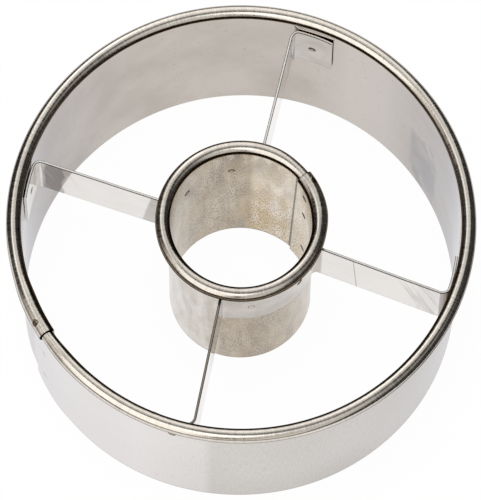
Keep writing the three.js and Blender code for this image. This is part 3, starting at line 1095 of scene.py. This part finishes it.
def add_floor():
    material = new_material("floor_white")
    diffuse = add_node(material, "ShaderNodeBsdfDiffuse", {"Color": grey(FLOOR_WHITE)})
    path = add_node(material, "ShaderNodeLightPath", {}).outputs
    away = add_node(material, "ShaderNodeVectorMath", {0: in_space(material)}, operation="LENGTH")
    near = remap(away.outputs["Value"], 1.0, FLOOR_FAR_GREY, *FLOOR_WHITE_FADE)
    strength = arithmetic("MAXIMUM", path["Is Camera Ray"], near)
    white = add_node(material, "ShaderNodeEmission", {"Color": grey(1.0), "Strength": strength})
    mirrored = arithmetic("MAXIMUM", path["Is Glossy Ray"], path["Is Transmission Ray"])
    mirrored = times(mirrored, FLOOR_WHITE_MIRRORED)
    seen = times(path["Is Camera Ray"], FLOOR_WHITE_SEEN)
    share = arithmetic("MAXIMUM", seen, mirrored)
    shader = add_node(material, "ShaderNodeMixShader", {
        0: share, 1: diffuse.outputs["BSDF"], 2: white.outputs["Emission"]})
    add_node(material, "ShaderNodeOutputMaterial", {"Surface": shader.outputs["Shader"]})
    sides = ((-1, -1), (1, -1), (1, 1), (-1, 1))
    corners = [(right * FLOOR_REACH, back * FLOOR_REACH, -FLOOR_DROP) for right, back in sides]
    floor = add_sheet("floor", corners, material)


def add_card(name, side, shift=0.0):
    """Dark card at one side of the object. It shows only in mirrors and gives the rims their dark lines."""
    right = camera_frame(90.0, 0.0)
    away = camera_frame(180.0, 0.0)
    base = right * side * CARD_DISTANCE + away * shift
    corners = []
    for reach, height in ((-1, 0.0), (1, 0.0), (1, CARD_HEIGHT), (-1, CARD_HEIGHT)):
        corners.append(base + away * reach * CARD_LENGTH / 2 + Vector((0.0, 0.0, height)))
    material = new_material(name)
    shader = add_node(material, "ShaderNodeBsdfDiffuse", {"Color": grey(CARD_GREY)})
    add_node(material, "ShaderNodeOutputMaterial", {"Surface": shader.outputs["BSDF"]})
    card = add_sheet(name, corners, material)
    card.visible_camera = False
    card.visible_diffuse = False
    card.visible_shadow = False


def add_world():
    world = bpy.data.worlds.new("studio")
    world.use_nodes = True
    background = world.node_tree.nodes["Background"]
    background.inputs["Color"].default_value = grey(1.0)
    background.inputs["Strength"].default_value = WORLD_GREY
    bpy.context.scene.world = world


add_camera()
add_floor()
add_world()
for place_name, panel in PANELS.items():
    add_panel(f"{place_name}_panel", PANEL_DISTANCE, *panel)
add_panel("overhead_fill", FILL_DISTANCE, *OVERHEAD_FILL, mirrored=False)
add_card("left_card", -1, LEFT_CARD_SHIFT)
add_card("right_card", 1)

# Places of the seams along the sheets
outer_covered = math.radians(OUTER_SEAM) * outer_wall
outer_covering = outer_covered + math.tau * outer_wall
inner_covered = math.radians(INNER_SEAM) * inner_wall
inner_covering = inner_covered + math.tau * inner_wall
inner_tucked = inner_covered - SEAM_OVERLAP
inner_over_tucked = inner_covering - SEAM_OVERLAP
bore_edge = [inner_covering - inset for inset in LAP_EDGE]
bore_lap = (inner_covered, inner_covered + LAP_SHADOW, INNER_SEAM_LEAN, bore_edge)
barrel_edge = [inner_tucked + inset for inset in LAP_EDGE]
barrel_lap = (inner_over_tucked - LAP_SHADOW, inner_over_tucked, (0.0, 0.0), barrel_edge)

# The bore's clear colour is a painted brighter reflection, and its mirrored shadow a painted reflected
# shadow
bore_steel = bright_sheet(
    "bore_steel", dull=(0.52, 0.465, 0.4), bright=(0.61, 0.55, 0.485), mirrored_shadow=(0.4, 0.37, 0.335),
    clear=(0.67, 0.61, 0.545), roughness=(0.05, 0.11), glance=(0.74, 0.75, 0.8))
wall_steel = satin_sheet(
    "wall_steel", dull=(0.53, 0.5, 0.455), bright=(0.72, 0.685, 0.64), lit_dull=(0.86, 0.82, 0.79),
    lit_bright=(0.94, 0.9, 0.87), roughness=(0.14, 0.22), glance=COOL_GLANCE)
rim_steel = rolled_rim(
    "rim_steel", dull=(0.66, 0.615, 0.56), bright=(0.88, 0.84, 0.785), root=(0.5, 0.45, 0.4),
    sleeve=(outer_covered, outer_covering), under_sector=(-22.0, 15.0, 25.0))
inner_rim_steel = rolled_rim(
    "inner_rim_steel", dull=(0.6, 0.56, 0.51), bright=(0.82, 0.78, 0.73), root=(0.42, 0.37, 0.31),
    sleeve=(inner_covered + INNER_SEAM_LEAN[1], inner_covering), under_sector=(-160.0, 10.0, 25.0))
bore_mottle = mottled_sheet(
    "bore_mottle", dull=(0.24, 0.19, 0.135), bright=(0.62, 0.55, 0.46), stain=(0.6, 0.465, 0.28),
    stain_sector=(25.0, 97.0, 15.0), clean=(0.85, 0.765, 0.65), clean_sector=(28.0, 95.0, 4.0),
    dark_patches=BORE_DARK_PATCHES, lap=bore_lap, roughness=(0.16, 0.3))
barrel_mottle = mottled_sheet(
    "barrel_mottle", dull=(0.23, 0.18, 0.13), bright=(0.57, 0.495, 0.405), stain=(0.48, 0.38, 0.25),
    stain_sector=(-90.0, -10.0, 15.0), clean=(0.71, 0.675, 0.64), clean_sector=(170.0, 266.0, 4.0),
    dark_patches=(), lap=barrel_lap, roughness=(0.12, 0.24))
right_strap_steel = strip_face(
    "right_strap_steel", end_shade=(0.74, 0.71, 0.69), streak=(0.47, 0.45, 0.43),
    band_reach=RIGHT_BAND_REACH)
left_strap_steel = strip_face(
    "left_strap_steel", end_shade=(0.43, 0.41, 0.41), streak=(0.6, 0.57, 0.55), band_reach=LEFT_BAND_REACH,
    band_slant=LEFT_BAND_SLANT)
strip_steels = {"front_right_strap": right_strap_steel, "back_left_strap": left_strap_steel}
edge_steel = cut_edge(
    "edge_steel", dull=(0.9, 0.885, 0.865), bright=(0.97, 0.96, 0.945), dark_mark=(0.34, 0.31, 0.275),
    roughness=(0.2, 0.3))
# Painted shade: near black on the strap's rounded corners, in place of their dark reflections
corner_shade_steel = cut_edge(
    "corner_shade_steel", dull=(0.025, 0.022, 0.02), bright=(0.07, 0.06, 0.05), dark_mark=(0.02, 0.016, 0.012),
    roughness=(0.3, 0.45))
weld_steel = weld_mark(
    "weld_steel", host=(0.6, 0.55, 0.49), burnt=(0.035, 0.02, 0.01), ring=(0.36 * MM, 0.72 * MM, 0.08 * MM),
    low_share=0.25, roughness=(0.2, 0.35), glance=DIM_GLANCE)
faint_weld_steel = weld_mark(
    "faint_weld_steel", host=(0.8, 0.765, 0.73), burnt=(0.6, 0.56, 0.52),
    ring=(0.35 * MM, 0.5 * MM, 0.1 * MM), low_share=0.6, roughness=(0.18, 0.28), glance=COOL_GLANCE)
tack_steel = weld_mark(
    "tack_steel", host=(0.6, 0.53, 0.44), burnt=(0.07, 0.045, 0.028), ring=(0.0, 0.42 * MM, 0.3 * MM),
    low_share=1.0, roughness=(0.2, 0.35), glance=DIM_GLANCE)

hoop("outer_ring", outer_wall, OUTER_SEAM, OUTER_SEAM_LEAN, OUTER_STEP, OUTER_SPRING, OUTER_SEAM_PRINTS,
     [bore_steel, wall_steel, rim_steel, faint_weld_steel, tack_steel])
hoop("inner_ring", inner_wall, INNER_SEAM, INNER_SEAM_LEAN, INNER_STEP, INNER_SPRING, INNER_SEAM_PRINTS,
     [bore_mottle, barrel_mottle, inner_rim_steel, weld_steel, tack_steel])
for strap_name, shape in STRAPS.items():
    strap(strap_name, shape, [strip_steels[strap_name], edge_steel, corner_shade_steel])
    strap_welds(shape, [weld_steel])

bpy.context.scene.view_settings.view_transform = "Standard"
